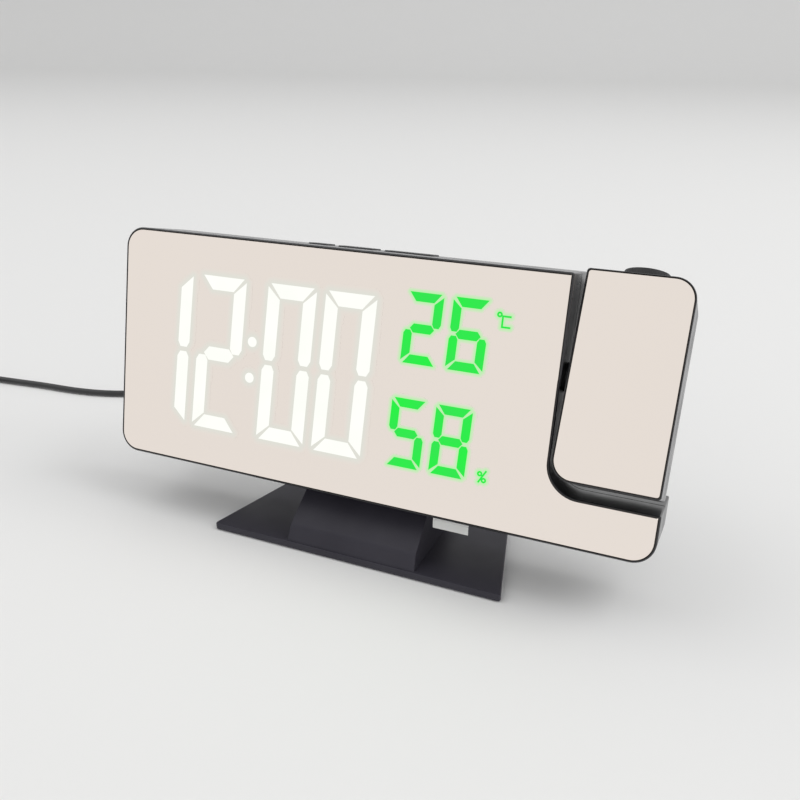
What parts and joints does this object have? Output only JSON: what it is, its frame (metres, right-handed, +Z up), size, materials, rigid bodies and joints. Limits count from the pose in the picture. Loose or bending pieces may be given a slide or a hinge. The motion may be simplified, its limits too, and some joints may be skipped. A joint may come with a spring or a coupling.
{
  "type": "projection alarm clock",
  "caption": "Mirror-faced digital alarm clock leaning on a flat foot, with a tilting projector head in a notch at its upper right and a USB power lead.",
  "frame": {"origin": "centre of the foot's bottom face, on the table", "axes": "+X to the right along the display, +Y away from the viewer, +Z up"},
  "size_m": [0.3735, 0.1118, 0.0994],
  "materials": {
    "display_mirror": "polished",
    "case_plastic": "satin",
    "key_plastic": "matte",
    "foot_plastic": "semi-gloss",
    "white_light": "lit",
    "green_light": "lit",
    "white_plastic": "matte",
    "circuit_board": "lacquered",
    "led_chips": "gloss",
    "screw_steel": "black zinc",
    "bare_steel": "nickel plated",
    "part_black": "matte",
    "ring_black": "fine ribs",
    "lens_clear": "polished",
    "film_dark": "polished",
    "clear_film": "shiny",
    "foot_rubber": "matte",
    "cord_black": "satin"
  },
  "bodies": {
    "clock_body": {"front_mirror": "display_mirror", "front_shell": "case_plastic", "rear_cover": "case_plastic", "stand": "foot_plastic", "time_windows": "white_light", "climate_windows": "green_light", "digit_reflector": "white_plastic", "display_board": "circuit_board", "control_board": "circuit_board", "segment_leds": "led_chips", "board_screws": "screw_steel", "case_screws": "screw_steel", "control_screws": "screw_steel", "stand_screws": "screw_steel", "key_switches": "part_black", "top_switches": "part_black", "clock_chip": "part_black", "clock_crystal": "bare_steel", "alarm_buzzer": "part_black", "climate_sensor": "white_plastic", "power_jack": "bare_steel", "coin_cell": "bare_steel", "battery_contacts": "bare_steel", "battery_pull_tab": "clear_film", "friction_washer": "bare_steel", "rubber_feet": "foot_rubber", "power_cord": "cord_black", "power_cord_coil": "cord_black", "power_cord_tail": "cord_black", "cord_plug": "cord_black", "cord_relief": "cord_black", "usb_grip": "cord_black", "usb_shell": "bare_steel"},
    "projector_head": {"head_mirror": "display_mirror", "head_front_shell": "case_plastic", "head_rear_shell": "case_plastic", "head_screws": "screw_steel", "pivot_tube": "part_black", "pivot_clip": "bare_steel", "projector_tube": "part_black", "condenser_lens": "lens_clear", "time_film": "film_dark", "projector_board": "circuit_board", "projector_led": "lens_clear"},
    "focus_ring_body": {"focus_ring": "ring_black"},
    "lens_carrier": {"lens_cell": "part_black", "projection_lens": "lens_clear"},
    "battery_door_body": {"battery_door": "case_plastic"},
    "mode_key_body": {"mode_key": "key_plastic"},
    "set_key_body": {"set_key": "key_plastic"},
    "up_key_body": {"up_key": "key_plastic"},
    "down_key_body": {"down_key": "key_plastic"},
    "alarm_key_body": {"alarm_key": "key_plastic"},
    "projection_key_body": {"projection_key": "key_plastic"},
    "light_key_body": {"light_key": "key_plastic"},
    "snooze_key_body": {"snooze_key": "key_plastic"}
  },
  "joints": [
    {"name": "head_tilt", "type": "hinge", "parent": "clock_body", "child": "projector_head", "pos_m": [0.0791, -0.00219, 0.06651], "axis": [-1, 0, 0], "range_deg": [-106.6, 73.4]},
    {"name": "focus_turn", "type": "hinge", "parent": "projector_head", "child": "focus_ring_body", "pos_m": [0.0791, -0.00219, 0.06651], "axis": [0, 0.4909, 0.8712], "range_deg": [-60, 60]},
    {"name": "lens_travel", "type": "slide", "parent": "projector_head", "child": "lens_carrier", "axis": [0, 0.4909, 0.8712], "range_m": [-0.00059, 0.00059]},
    {"name": "battery_door_pull", "type": "slide", "parent": "clock_body", "child": "battery_door_body", "axis": [0, -0.2215, -0.9751], "range_m": [0, 0.006]},
    {"name": "mode_key_press", "type": "slide", "parent": "clock_body", "child": "mode_key_body", "axis": [0, -0.9751, 0.2215], "range_m": [0, 0.0006], "stiffness_N_per_m": 300, "springref_m": -0.0003},
    {"name": "set_key_press", "type": "slide", "parent": "clock_body", "child": "set_key_body", "axis": [0, -0.9751, 0.2215], "range_m": [0, 0.0006], "stiffness_N_per_m": 300, "springref_m": -0.0003},
    {"name": "up_key_press", "type": "slide", "parent": "clock_body", "child": "up_key_body", "axis": [0, -0.9751, 0.2215], "range_m": [0, 0.0006], "stiffness_N_per_m": 300, "springref_m": -0.0003},
    {"name": "down_key_press", "type": "slide", "parent": "clock_body", "child": "down_key_body", "axis": [0, -0.9751, 0.2215], "range_m": [0, 0.0006], "stiffness_N_per_m": 300, "springref_m": -0.0003},
    {"name": "alarm_key_press", "type": "slide", "parent": "clock_body", "child": "alarm_key_body", "axis": [0, -0.9751, 0.2215], "range_m": [0, 0.0006], "stiffness_N_per_m": 300, "springref_m": -0.0003},
    {"name": "projection_key_press", "type": "slide", "parent": "clock_body", "child": "projection_key_body", "axis": [0, -0.2215, -0.9751], "range_m": [0, 0.0006], "stiffness_N_per_m": 300, "springref_m": -0.0003},
    {"name": "light_key_press", "type": "slide", "parent": "clock_body", "child": "light_key_body", "axis": [0, -0.2215, -0.9751], "range_m": [0, 0.0006], "stiffness_N_per_m": 300, "springref_m": -0.0003},
    {"name": "snooze_key_press", "type": "slide", "parent": "clock_body", "child": "snooze_key_body", "axis": [0, -0.2215, -0.9751], "range_m": [0, 0.0006], "stiffness_N_per_m": 300, "springref_m": -0.0003}
  ],
  "couplings": [
    {"joint": "focus_turn", "follows": "lens_travel", "rad_per_m": 1750}
  ]
}
